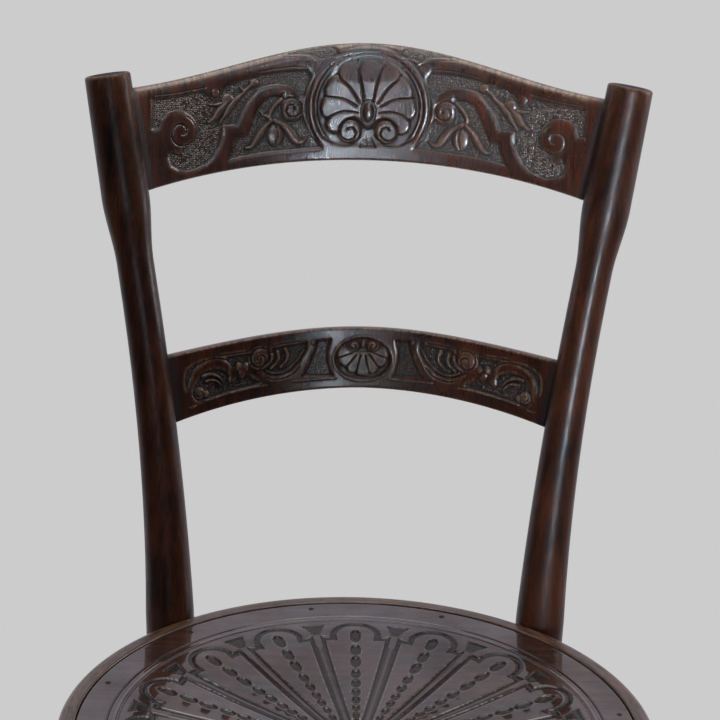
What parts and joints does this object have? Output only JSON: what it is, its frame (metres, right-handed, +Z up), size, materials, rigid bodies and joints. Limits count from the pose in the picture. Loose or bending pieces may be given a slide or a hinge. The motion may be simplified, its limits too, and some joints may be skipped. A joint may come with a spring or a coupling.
{
  "type": "bentwood chair",
  "caption": "Bentwood side chair with a round, dished and embossed plywood seat in a bent hoop, bent back posts, embossed curved back rails and a leg ring.",
  "frame": {"origin": "on the floor under the middle of the chair's outline seen from above", "axes": "+Z up, the sitter faces -Y, +X to the right of a viewer who faces the chair"},
  "size_m": [0.4098, 0.505, 0.8523],
  "materials": {
    "dark_beech": "very dark stained beech, polished with shellac, worn at the edges",
    "hoop_beech": "dark stained bent beech, rubbed lighter along its top edge",
    "rail_ply": "dark stained plywood with pressed relief, upright grain, half gloss",
    "seat_ply": "dark stained plywood with pressed relief, half gloss with grey wear",
    "nail_iron": "dark oxidised nail heads",
    "bolt_iron": "dull old steel"
  },
  "bodies": {
    "root": {"crest_rail": "rail_ply", "lower_back_rail": "rail_ply", "right_back_post": "dark_beech", "left_back_post": "dark_beech", "seat_hoop": "hoop_beech", "seat_panel": "seat_ply", "seat_panel_nails": "nail_iron", "right_front_leg": "dark_beech", "left_front_leg": "dark_beech", "leg_ring": "dark_beech", "leg_ring_screws": "bolt_iron", "post_bolts": "bolt_iron", "post_bolt_washers": "bolt_iron", "post_bolt_nuts": "bolt_iron"}
  },
  "joints": []
}
